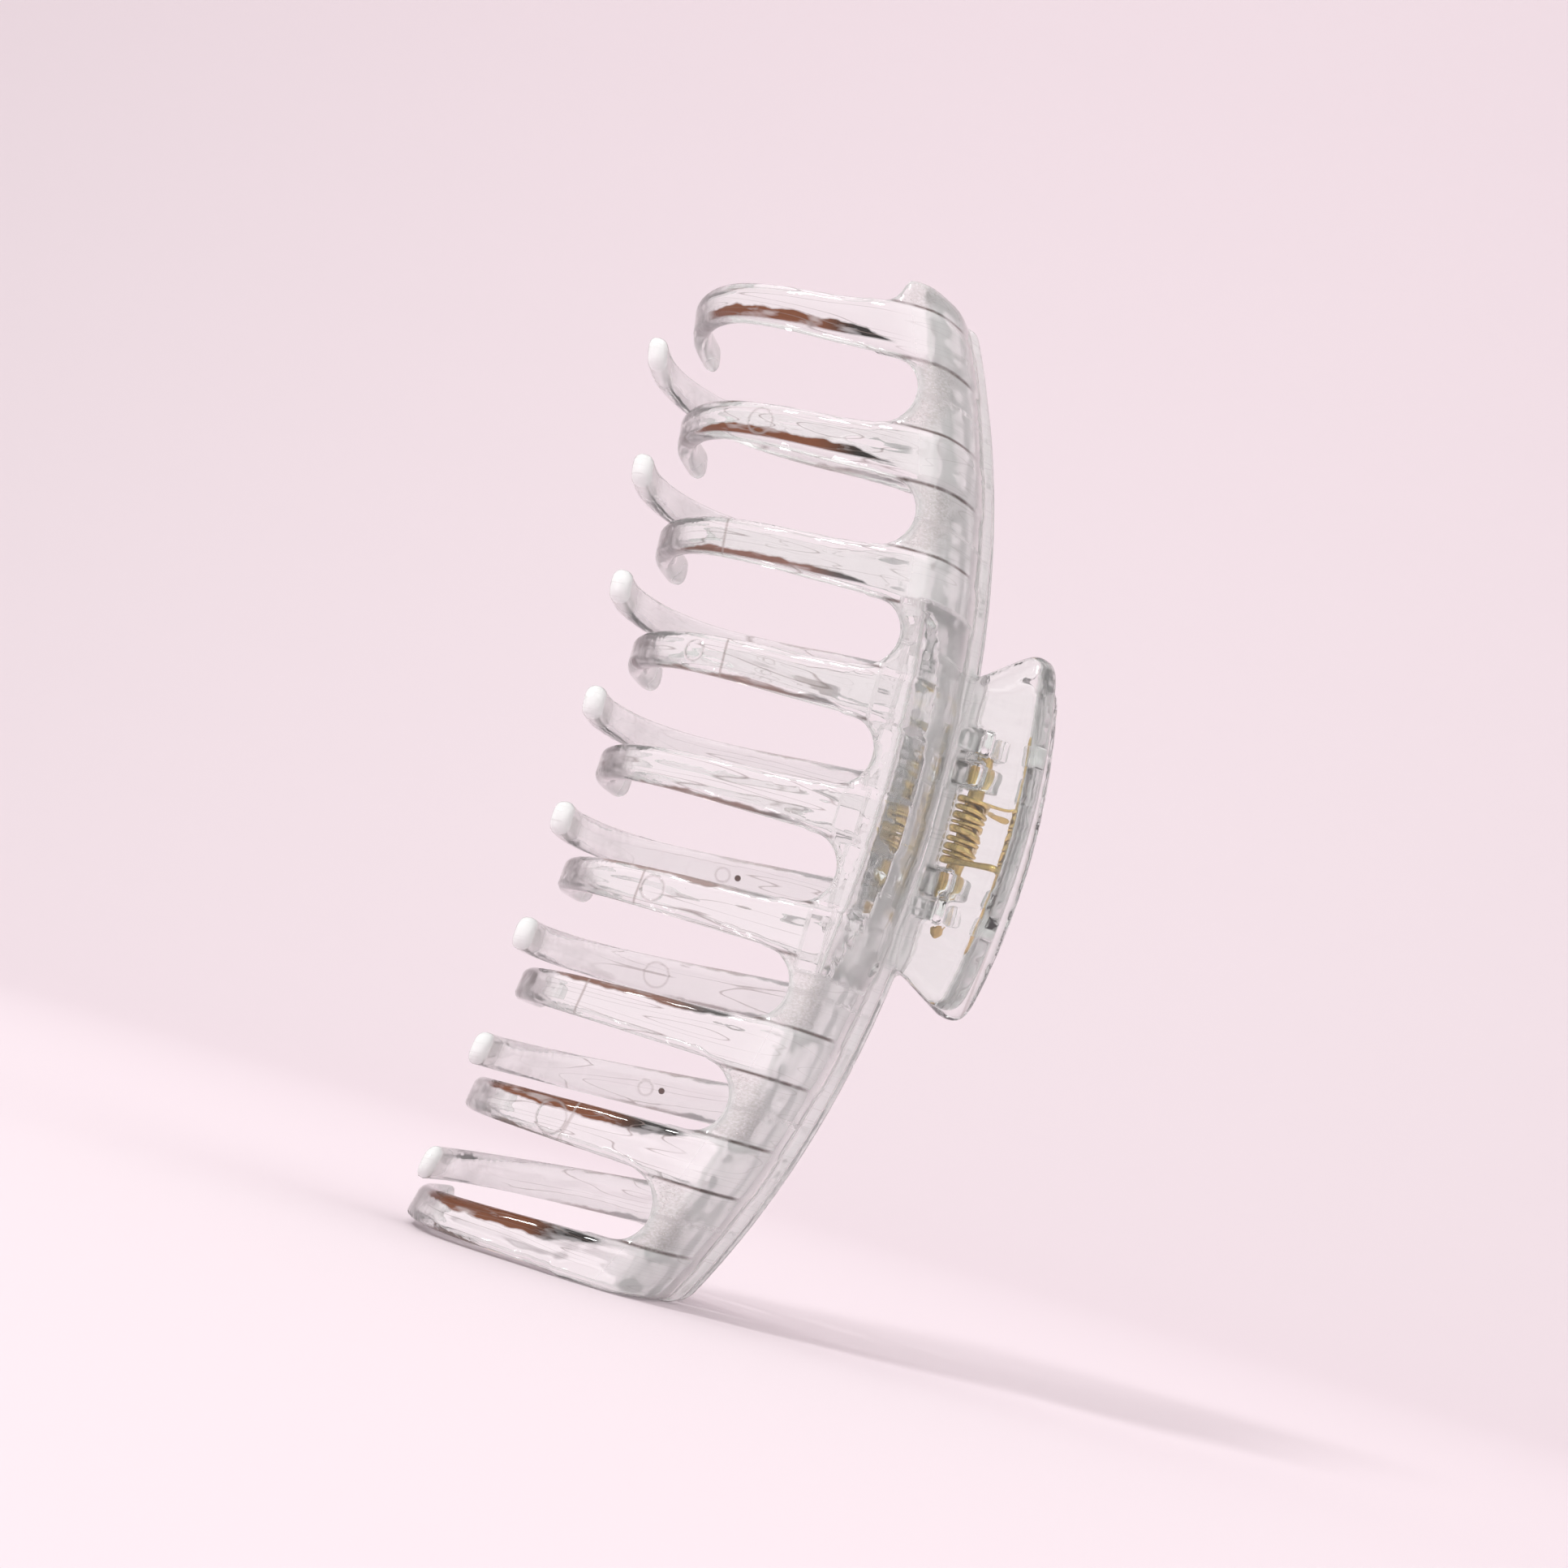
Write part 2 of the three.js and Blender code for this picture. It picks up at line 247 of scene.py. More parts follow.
def catmull(points, count):
    """A uniform Catmull-Rom curve through the points."""
    p = np.array(points, float)
    t = np.linspace(0, len(p) - 1, count)
    i = np.minimum(t.astype(int), len(p) - 2)
    f = (t - i)[:, None]
    p0, p1 = p[np.maximum(i - 1, 0)], p[i]
    p2, p3 = p[i + 1], p[np.minimum(i + 2, len(p) - 1)]
    v0, v1 = (p2 - p0) / 2, (p3 - p1) / 2
    cubic = (2 * p1 - 2 * p2 + v0 + v1) * f**3
    return cubic + (-3 * p1 + 3 * p2 - 2 * v0 - v1) * f**2 + v0 * f + p1


class Section:
    """Depth below the outer face and place along it, looked up over the (reach, out) plane."""

    LOW = np.array([-4.0, -18.0])
    HIGH = np.array([43.0, 21.0])
    CELL = 0.15
    CHUNK = 20000
    # the curve is carried straight on, before its start and past its end: length and parameter
    LEAD, LEAD_PART = 3, 0.08
    TAIL, TAIL_PART = 4, 0.1

    def __init__(self):
        line = catmull(SECTION, CURVE_POINTS)
        first = line[0] - unit(line[1] - line[0]) * self.LEAD
        last = line[-1] + unit(line[-1] - line[-2]) * self.TAIL
        line = np.vstack([first, line, last])
        inside = np.linspace(0, 1, CURVE_POINTS)
        part = np.concatenate([[-self.LEAD_PART], inside, [1 + self.TAIL_PART]])
        lengths = np.linalg.norm(np.diff(line, axis=0), axis=1)
        run = np.concatenate([[0], np.cumsum(lengths)]) - self.LEAD
        self.total = run[-1] - self.TAIL
        size = ((self.HIGH - self.LOW) / self.CELL).astype(int)
        gx, gy = np.meshgrid(np.arange(size[0]), np.arange(size[1]), indexing="ij")
        at = self.LOW + np.stack([gx, gy], -1).reshape(-1, 2) * self.CELL
        chunks = [at[s : s + self.CHUNK] for s in range(0, len(at), self.CHUNK)]
        maps = [self.nearest(chunk, line, run, part) for chunk in chunks]
        self.maps = np.concatenate(maps).reshape(size[0], size[1], 3)

    @staticmethod
    def nearest(at, line, run, part):
        """Signed depth, length and parameter of the nearest place on the line."""
        a, d = line[:-1], np.diff(line, axis=0)
        t = np.clip(((at[:, None] - a) * d).sum(2) / (d * d).sum(1), 0, 1)
        off = at[:, None] - a - t[..., None] * d
        best = (off * off).sum(2).argmin(1)
        row = np.arange(len(at))
        tb, ob, db = t[row, best], off[row, best], d[best]
        sign = np.sign(ob[:, 0] * db[:, 1] - ob[:, 1] * db[:, 0])
        depth = sign * np.hypot(ob[:, 0], ob[:, 1])
        where = run[best] + tb * (run[best + 1] - run[best])
        param = part[best] + tb * (part[best + 1] - part[best])
        return np.stack([depth, where, param], -1)

    def __call__(self, reach, out):
        u = (np.stack([reach, out], -1) - self.LOW) / self.CELL
        top = np.array(self.maps.shape[:2]) - 2
        u = np.clip(u, 0, top)
        i = u.astype(int)
        f = u - i
        m = self.maps
        fx, fy = f[:, :1], f[:, 1:]
        low = m[i[:, 0], i[:, 1]] * (1 - fx) + m[i[:, 0] + 1, i[:, 1]] * fx
        high = m[i[:, 0], i[:, 1] + 1] * (1 - fx) + m[i[:, 0] + 1, i[:, 1] + 1] * fx
        return (low * (1 - fy) + high * fy).T


section = Section()


def back_edge(z):
    s = (z - MIDDLE) / HALF_SPAN
    return -BACK_SET - BACK_BOW * s**2 - BACK_CURL * s**4


def tip_line(z, slope):
    s = (z - MIDDLE) / HALF_SPAN
    return -BACK_SET - REACH - TIP_BOW * s**2 - TIP_CURL * s**4 - slope * (z - MIDDLE)


def wall_at(param):
    return WALL + (TIP_WALL - WALL) * np.clip(param, 0, 1)


class Jaw:
    def __init__(self, first, teeth, lean, slope, lug, window):
        self.first, self.teeth = first, teeth
        self.lean, self.slope = lean, slope
        self.lug, self.window = lug, window
        self.centres = TOOTH_W / 2 + (first + np.arange(teeth)) * PITCH

    def unbow(self, x, z):
        """Reach on the mid-length section, and how much of it is past the webs."""
        reach = back_edge(z) - x
        full = back_edge(z) - tip_line(z, self.slope)
        stretch = (full - WEB) / (REACH - WEB)
        beyond = np.maximum(reach - WEB, 0) / stretch
        return np.minimum(reach, WEB) + beyond, beyond

    def tooth_index(self, z):
        return np.clip(np.round((z - self.centres[0]) / PITCH), 0, self.teeth - 1).astype(int)

    def near_tooth(self, z):
        return self.centres[0] + self.tooth_index(z) * PITCH

    def tooth_field(self, z, reach, beyond, depth, where, param):
        upright = z + self.lean * beyond
        across = upright - self.near_tooth(upright)
        share = np.clip(beyond / (REACH - WEB), 0, 1)
        half = (TOOTH_W + (TIP_W - TOOTH_W) * share) / 2
        wall = wall_at(param)
        grown = smooth(reach, *EDGE_GROWS)
        outer_edge = OUTER_EDGE + OUTER_EDGE_GROWTH * grown
        inner_edge = INNER_EDGE + INNER_EDGE_GROWTH * grown
        radius = np.where(depth < wall / 2, outer_edge, inner_edge)
        radius = np.minimum(radius, wall / 2 - CLEARANCE)
        past = where - (section.total - TIP_ROUND)
        corner = np.hypot(np.maximum(np.abs(across) - half + TIP_ROUND, 0), past) - TIP_ROUND
        outline = np.where(past > 0, corner, np.abs(across) - half)
        a = outline + radius
        b = np.abs(depth - wall / 2) - (wall / 2 - radius)
        outside = np.hypot(np.maximum(a, 0), np.maximum(b, 0))
        return outside + np.minimum(np.maximum(a, b), 0) - radius

    def notch_field(self, x, z):
        """Above zero where the webs are cut away."""
        i = np.clip(np.round((z - self.centres[0]) / PITCH - 0.5), 0, self.teeth - 2)
        zc = self.centres[0] + (i + 0.5) * PITCH
        cx = back_edge(zc) - WEB
        cut = NOTCH_R - np.hypot(np.maximum(x - cx, 0), z - zc)
        ends = (1, -1) if self.first > 0 else (1,)
        for end in ends:
            cut = np.maximum(cut, self.end_notch(x, z, end))
        return cut

    def end_notch(self, x, z, end):
        """The step past the last tooth: a hollow corner, then clear to the jaw's end."""
        side = self.centres[-1 if end > 0 else 0] + end * TOOTH_W / 2
        edge = back_edge(side + end * (PITCH - TOOTH_W) / 2) - END_NOTCH_DEPTH
        u, v = edge - x, end * (z - side)
        corner = END_NOTCH_R - np.hypot(END_NOTCH_R - u, END_NOTCH_R - v)
        step = np.where((u < END_NOTCH_R) & (v < END_NOTCH_R), corner, np.minimum(u, v))
        return np.where(v > -END_NOTCH_BACK, step, NOT_CUT)

    def handle_coords(self, x, out, z):
        """Along the plate from the back edge, up from its outer face, and from mid-length."""
        x0 = back_edge(MIDDLE)
        v = (x - x0) * math.cos(SPLAY) + (out - BACK) * math.sin(SPLAY)
        h = (x - x0) * math.sin(SPLAY) - (out - BACK) * math.cos(SPLAY)
        return v, h, z - MIDDLE

    def body_field(self, x, out, z):
        """Teeth, webs and the lip along the back edge."""
        reach, beyond = self.unbow(x, z)
        depth, where, param = section(reach, out)
        tooth = self.tooth_field(z, reach, beyond, depth, where, param)
        tooth = np.maximum(tooth, -ROOT_PAST - where)
        web = slab(depth, RECESS * smooth(reach, *RECESS_IN), wall_at(param))
        web = smax(web, self.notch_field(x, z), WEB_EDGE)
        web = np.maximum(web, reach - WEB - WEB_PAST)
        web = np.maximum(web, -ROOT_PAST - where)
        d = smin(tooth, web, TOOTH_BLEND)
        xr = x - back_edge(z)
        lip = smax(slab(xr, -LIP_INNER, LIP_H), slab(out, BACK - LIP_WALL, BACK - LIP_BELOW), LIP_EDGE)
        lip = smax(lip, (xr + out - BACK) / math.sqrt(2), LIP_CORNER)
        d = smin(d, lip, LIP_BLEND)
        d = smax(d, -z, LOWER_END)
        return smax(d, z - LENGTH, UPPER_END)

    def plate_field(self, v, h, zz):
        arc = np.hypot(v - PLATE_ARC_V, zz) - PLATE_ARC_R
        side = (np.abs(zz) - PLATE_BASE_HALF) * FLARE_COS - v * FLARE_SIN
        plate = smax(arc, side, PLATE_CORNER)
        plate = smax(plate, slab(h, 0, PLATE_T), PLATE_EDGE)
        return np.maximum(plate, -PLATE_ROOT - v)

    def window_field(self, v, h, zz):
        """Below zero inside the two moulding windows beside the other jaw's lugs."""
        upright = np.abs(np.abs(zz) - self.window) - WINDOW_H / 2
        hole = np.maximum(slab(v, WINDOW_NEAR, WINDOW_FAR), upright)
        return np.maximum(hole, slab(h, -WINDOW_PAST, PLATE_T + WINDOW_PAST))

    def lug_field(self, v, h, zz):
        vp, hp, _ = self.handle_coords(0.0, 0.0, MIDDLE)
        round_end = np.hypot(v - vp, h - hp) - LUG_R
        block = np.maximum(np.abs(v - vp) - LUG_R, np.maximum(LUG_FOOT - h, h - hp))
        lug = np.minimum(round_end, block)
        return smax(lug, np.abs(np.abs(zz) - self.lug) - LUG_W / 2, LUG_EDGE)

    def field(self, p):
        """The whole jaw: below zero inside the plastic."""
        x, out, z = p[:, 0], p[:, 1], p[:, 2]
        v, h, zz = self.handle_coords(x, out, z)
        d = smin(self.body_field(x, out, z), self.plate_field(v, h, zz), PLATE_BLEND)
        d = smax(d, -self.window_field(v, h, zz), WINDOW_EDGE)
        d = smin(d, self.lug_field(v, h, zz), LUG_BLEND)
        return smax(d, BORE_R + CLEARANCE - np.hypot(x, out), BORE_EDGE)


# ---- From field to mesh ----
def field_grid(solid, low, high, step):
    counts = [int(math.ceil((b - a) / step)) + 1 for a, b in zip(low, high)]
    xs, ys, zs = (low[i] + np.arange(counts[i]) * step for i in range(3))
    values = np.empty(counts)
    gy, gz = np.meshgrid(ys, zs, indexing="ij")
    for i, x in enumerate(xs):
        p = np.stack([np.full(gy.size, x), gy.ravel(), gz.ravel()], -1)
        values[i] = solid.field(p).reshape(gy.shape)
    return values


def cell_points(values, cell, corners):
    """The mean place, in cells, where the surface crosses each cell's edges."""
    total = np.zeros((len(cell), 3))
    hits = np.zeros(len(cell))
    for a in corners:
        for axis in range(3):
            if a[axis]:
                continue
            b = list(a)
            b[axis] = 1
            va = values[cell[:, 0] + a[0], cell[:, 1] + a[1], cell[:, 2] + a[2]]
            vb = values[cell[:, 0] + b[0], cell[:, 1] + b[1], cell[:, 2] + b[2]]
            crosses = (va < 0) != (vb < 0)
            t = np.where(crosses, va / np.where(crosses, va - vb, 1), 0)
            point = np.array(a, float) + t[:, None] * (np.array(b) - np.array(a))
            total += np.where(crosses[:, None], point, 0)
            hits += crosses
    return cell + total / hits[:, None]


def surface_net(values, low, step):
    """One vertex per cell that the surface crosses, and one quad per grid edge that it crosses."""
    inside = values < 0
    corners = [(i, j, k) for i in (0, 1) for j in (0, 1) for k in (0, 1)]
    nx, ny, nz = values.shape
    count = sum(
        inside[i : nx - 1 + i, j : ny - 1 + j, k : nz - 1 + k].astype(np.int8) for i, j, k in corners
    )
    cell = np.argwhere((count > 0) & (count < 8))
    ids = np.full((nx - 1, ny - 1, nz - 1), -1, np.int64)
    ids[tuple(cell.T)] = np.arange(len(cell))
    verts = np.array(low) + cell_points(values, cell, corners) * step
    # the four cells round an edge along x, y and z
    rings = (
        ((0, -1, -1), (0, 0, -1), (0, 0, 0), (0, -1, 0)),
        ((-1, 0, -1), (-1, 0, 0), (0, 0, 0), (0, 0, -1)),
        ((-1, -1, 0), (0, -1, 0), (0, 0, 0), (-1, 0, 0)),
    )
    quads = []
    for axis, ring in enumerate(rings):
        one = [slice(1, -1)] * 3
        two = [slice(1, -1)] * 3
        one[axis], two[axis] = slice(0, -1), slice(1, None)
        a, b = inside[tuple(one)], inside[tuple(two)]
        base = np.argwhere(a != b)
        base += np.array([0 if i == axis else 1 for i in range(3)])
        leaving = inside[tuple(base.T)]
        ring_ids = np.stack([ids[tuple((base + np.array(o)).T)] for o in ring], 1)
        quads.append(np.where(leaving[:, None], ring_ids, ring_ids[:, ::-1]))
    return verts, np.vstack(quads)


def gradient(solid, p, h=0.02):
    g = np.empty_like(p)
    for axis in range(3):
        step = np.zeros(3)
        step[axis] = h
        g[:, axis] = (solid.field(p + step) - solid.field(p - step)) / (2 * h)
    return g


def settle(solid, p, rounds=3, longest=0.3, least_slope=0.05):
    """Moves the vertices onto the true surface."""
    for _ in range(rounds):
        g = gradient(solid, p)
        size = np.maximum((g * g).sum(1), least_slope)
        move = solid.field(p)[:, None] * g / size[:, None]
        length = np.linalg.norm(move, axis=1, keepdims=True)
        p = p - move * np.minimum(1, longest / np.maximum(length, 1e-9))
    return p


def make_object(name, verts_mm, faces, body, node, mat):
    mesh = bpy.data.meshes.new(name)
    mesh.from_pydata((np.asarray(verts_mm) / 1000).tolist(), [], [list(map(int, f)) for f in faces])
    mesh.polygons.foreach_set("use_smooth", [True] * len(mesh.polygons))
    mesh.materials.append(mat)
    mesh.update()
    obj = bpy.data.objects.new(name, mesh)
    bpy.context.scene.collection.objects.link(obj)
    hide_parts(node)
    if body:
        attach(obj, body)
    return obj


# ---- The jaws ----
def streak_marks(solid, side, reach, upright, across, depth):
    """How far inside the painted reflection streak's two edges a place is, and how strong the streak is
    there.
    """
    if side < 0:
        i = solid.tooth_index(upright)
        facing = np.where(i < STREAK_TURN, across, -across)
        start = STREAK_START[i] + fade(reach, *STREAK_THINS) + 0.5 * smooth(reach, *STREAK_TAPERS)
        strength = STREAK_STRENGTH[i] * smooth(reach, *STREAK_IN) * fade(reach, *STREAK_OUT)
        return facing - start, facing - STREAK_END[i], strength * (depth < TOOTH_SKIN)
    start, end, strength = REAR_STREAK
    strength = strength * smooth(reach, *REAR_STREAK_IN) * fade(reach, *REAR_STREAK_OUT)
    return np.abs(across) - start, np.abs(across) - end, strength


def moulding_and_painted_light_marks(solid, side, verts):
    """Where the plastic's moulding marks, painted shade and painted reflections are, as values at the
    vertices for the material to read.
    """
    front_side = side < 0
    reach, beyond = solid.unbow(verts[:, 0], verts[:, 2])
    depth, where, _ = section(reach, verts[:, 1])
    upright = verts[:, 2] + solid.lean * beyond
    across = upright - solid.near_tooth(upright)
    notch = -solid.notch_field(verts[:, 0], verts[:, 2])
    v, _, zz = solid.handle_coords(verts[:, 0], verts[:, 1], verts[:, 2])
    on_body = (v < HANDLE_FROM) | (np.abs(zz) > HANDLE_HALF)
    marks = {"aside": np.abs(across), "warm": smooth(reach, *STREAK_WARMS)}
    frost = smooth(notch, *FROST_IN) * fade(notch, *FROST_OUT) * fade(reach, *FROST_REACH)
    frost *= on_body * (depth < FROST_SKIN) * (np.abs(across) > TOOTH_W / 2 + FROST_ASIDE)
    marks["frost"] = frost
    # painted shade along the rib edges
    rib_edge_shade = smooth(reach, *CREASE_IN) * fade(reach, *CREASE_OUT) * (depth < BODY_SKIN) * on_body
    marks["rib_edge_shade"] = rib_edge_shade * (1.0 if front_side else REAR_CREASE)
    milk = fade(reach, *MILK_REACH) * smooth(depth, *MILK_DEPTH) * on_body
    marks["milk"] = milk * (1 - MILK_LOSS * smooth(np.abs(verts[:, 2] - MIDDLE), *MILK_ENDS))
    veil = VEIL + VEIL_AT_BACK * fade(reach, *VEIL_REACH)
    marks["veil"] = veil * (depth < BODY_SKIN) * on_body
    tip = smooth(where, section.total - TIP_FROM, section.total - TIP_TO) * (reach > TIP_REACH)
    marks["tip"] = tip * (FRONT_TIP if front_side else 1.0)
    hook_dark = np.exp(-(((where - section.total + HOOK_DARK_BEFORE) / HOOK_DARK_W) ** 2))
    marks["hook_dark"] = hook_dark * (1.0 if front_side else REAR_HOOK_DARK) * (reach > HOOK_DARK_REACH)
    lined = LINES_LEAST + (1 - LINES_LEAST) * smooth(reach, *LINES_IN) * fade(reach, *LINES_OUT)
    marks["lined"] = lined * on_body * (depth < TOOTH_SKIN)
    line_at = np.array(CROSS_LINES)[solid.tooth_index(upright)] if front_side else NO_LINE
    marks["crossing"] = reach - line_at
    # the painted reflection streak along each tooth
    band, rim, streak = streak_marks(solid, side, reach, upright, across, depth)
    marks.update(band=band, rim=rim, streak=streak)
    along_body = np.stack([where, across, upright], 1)
    along_handle = np.stack([v, zz, zz * 0], 1)
    return marks, np.where(on_body[:, None], along_body, along_handle)


def make_jaw(name, solid, side, body, mat):
    """side is -1 for the front jaw and +1 for the rear one."""
    values = field_grid(solid, GRID_LOW, GRID_HIGH, STEP)
    verts, quads = surface_net(values, GRID_LOW, STEP)
    verts = settle(solid, verts)
    verts[:, 1] = np.minimum(verts[:, 1], cad_high[1] * 1000 - CLEARANCE)
    place = np.stack([verts[:, 0] + PIN_X, side * verts[:, 1], verts[:, 2]], 1)
    if side < 0:
        quads = quads[:, ::-1]
    obj = make_object(name, place, quads, body, name.replace("_shell", ""), mat)
    marks, flow = moulding_and_painted_light_marks(solid, side, verts)
    for mark, amounts in marks.items():
        layer = obj.data.attributes.new(mark, "FLOAT", "POINT")
        layer.data.foreach_set("value", np.asarray(amounts, np.float32))
    layer = obj.data.attributes.new("flow", "FLOAT_VECTOR", "POINT")
    layer.data.foreach_set("vector", flow.astype(np.float32).ravel())
    return obj


def surface_point(solid, side, tooth, reach, inner):
    """A point on a tooth's outer face, or with inner = 1 on its inner face, in metres."""
    curve = catmull(SECTION, CURVE_POINTS)
    outward = curve[: int(BEFORE_HOOK * CURVE_POINTS), 0]
    i = int(np.abs(outward - reach).argmin())
    d = unit(curve[i + 1] - curve[i])
    wall = (WALL + (TIP_WALL - WALL) * i / CURVE_POINTS) * inner
    r, out = curve[i, 0] + d[1] * wall, curve[i, 1] - d[0] * wall
    z = solid.centres[tooth]
    full = back_edge(z) - tip_line(z, solid.slope)
    beyond = max(r - WEB, 0)
    x = back_edge(z) - min(r, WEB) - beyond * (full - WEB) / (REACH - WEB)
    return Vector((x + PIN_X, side * out, z - solid.lean * beyond)) / 1000


# ---- Materials ----
class Material:
    """A node material, with short calls for the nodes that it uses."""

    def __init__(self, name):
        self.data = bpy.data.materials.new(name)
        self.data.use_nodes = True
        self.nodes = self.data.node_tree.nodes
        self.links = self.data.node_tree.links
        self.surface = self.nodes["Principled BSDF"].inputs

    def put(self, socket, value):
        """Links a node's output to the socket, or sets the socket to a constant."""
        if isinstance(value, bpy.types.NodeSocket):
            self.links.new(value, socket)
        else:
            socket.default_value = value

    def math(self, operation, a, b=None):
        node = self.nodes.new("ShaderNodeMath")
        node.operation = operation
        self.put(node.inputs[0], a)
        if b is not None:
            self.put(node.inputs[1], b)
        return node.outputs["Value"]

    def times(self, a, b):
        return self.math("MULTIPLY", a, b)

    def larger(self, a, b):
        return self.math("MAXIMUM", a, b)

    def span(self, value, low, high, to_low=0.0, to_high=1.0):
        """Takes low..high to to_low..to_high, and holds the ends."""
        node = self.nodes.new("ShaderNodeMapRange")
        node.inputs["From Min"].default_value = low
        node.inputs["From Max"].default_value = high
        node.inputs["To Min"].default_value = to_low
        node.inputs["To Max"].default_value = to_high
        self.put(node.inputs["Value"], value)
        return node.outputs["Result"]

    def mix(self, factor, a, b):
        node = self.nodes.new("ShaderNodeMix")
        node.data_type = "RGBA"
        self.put(node.inputs[0], factor)
        self.put(node.inputs[6], a)
        self.put(node.inputs[7], b)
        return node.outputs[2]

    def attribute(self, name, output="Fac"):
        node = self.nodes.new("ShaderNodeAttribute")
        node.attribute_name = name
        return node.outputs[output]

    def position(self):
        return self.nodes.new("ShaderNodeTexCoord").outputs["Object"]

    def noise(self, vector, scale, detail, stretch=(1, 1, 1)):
        mapping = self.nodes.new("ShaderNodeMapping")
        mapping.inputs["Scale"].default_value = stretch
        self.put(mapping.inputs["Vector"], vector)
        noise = self.nodes.new("ShaderNodeTexNoise")
        noise.inputs["Scale"].default_value = scale
        noise.inputs["Detail"].default_value = detail
        self.put(noise.inputs["Vector"], mapping.outputs["Vector"])
        return noise.outputs["Fac"]

    def distance(self, vector, point):
        node = self.nodes.new("ShaderNodeVectorMath")
        node.operation = "DISTANCE"
        node.inputs[1].default_value = point
        self.put(node.inputs[0], vector)
        return node.outputs["Value"]

    def bump(self, height, strength, distance, normal=None):
        node = self.nodes.new("ShaderNodeBump")
        node.inputs["Strength"].default_value = strength
        node.inputs["Distance"].default_value = distance
        self.put(node.inputs["Height"], height)
        if normal is not None:
            self.put(node.inputs["Normal"], normal)
        return node.outputs["Normal"]


def streak_amount(m, flow):
    """Painted reflection: the dark streak along a tooth, between its two wavering edges."""
    broken = m.span(m.noise(flow, 1.0, 3.0, (0.22, 1.1, 0.15)), 0.32, 0.46, 0.7, 1.0)
    wobble = m.span(m.noise(flow, 1.0, 2.0, (0.35, 0.2, 0.2)), 0.3, 0.7, -0.22, 0.22)
    band = m.math("ADD", m.attribute("band"), wobble)
    dark = m.times(m.span(band, -0.05, 0.2), broken)
    dark = m.times(dark, m.span(m.attribute("rim"), -0.12, 0.1, 1.0, 0.0))
    return m.times(dark, m.attribute("streak"))


def hook_dark_amount(m, flow):
    """The cloudy dark patch where a tooth turns into its hook."""
    cloud = m.span(m.noise(flow, 1.0, 3.0, (0.4, 0.55, 0.35)), 0.36, 0.6, 0.1, 1.0)
    return m.times(m.attribute("hook_dark"), cloud)


def line_amount(m, flow):
    """Thin flow lines: the contours of a long noise."""
    level = m.times(m.noise(flow, 1.0, 1.0, (0.028, 0.4, 0.05)), 11.0)
    line = m.span(m.math("PINGPONG", level, 0.5), 0.0, 0.05, 0.8, 0.0)
    return m.times(line, m.attribute("lined"))


def rib_edge_shade_amount(m, flow):
    """Painted shade: dark lines along the edges of the ribs on the body, standing in for refraction at
    the fillets.
    """
    beside = m.math("SUBTRACT", m.attribute("aside"), TOOTH_W / 2 + 0.25)
    beside = m.span(m.math("ABSOLUTE", beside), 0.06, 0.26, 1.0, 0.0)
    uneven = m.span(m.noise(flow, 1.0, 2.0, (0.35, 0.3, 0.3)), 0.35, 0.5, 0.6, 1.0)
    return m.times(m.times(m.attribute("rib_edge_shade"), beside), uneven)


def ring_amount(m, position, rings):
    total = None
    for point, radius in rings:
        off = m.math("ABSOLUTE", m.math("SUBTRACT", m.distance(position, point), radius))
        ring = m.span(off, 0.0, RING_W, 1.0, 0.0)
        total = ring if total is None else m.larger(total, ring)
    return total


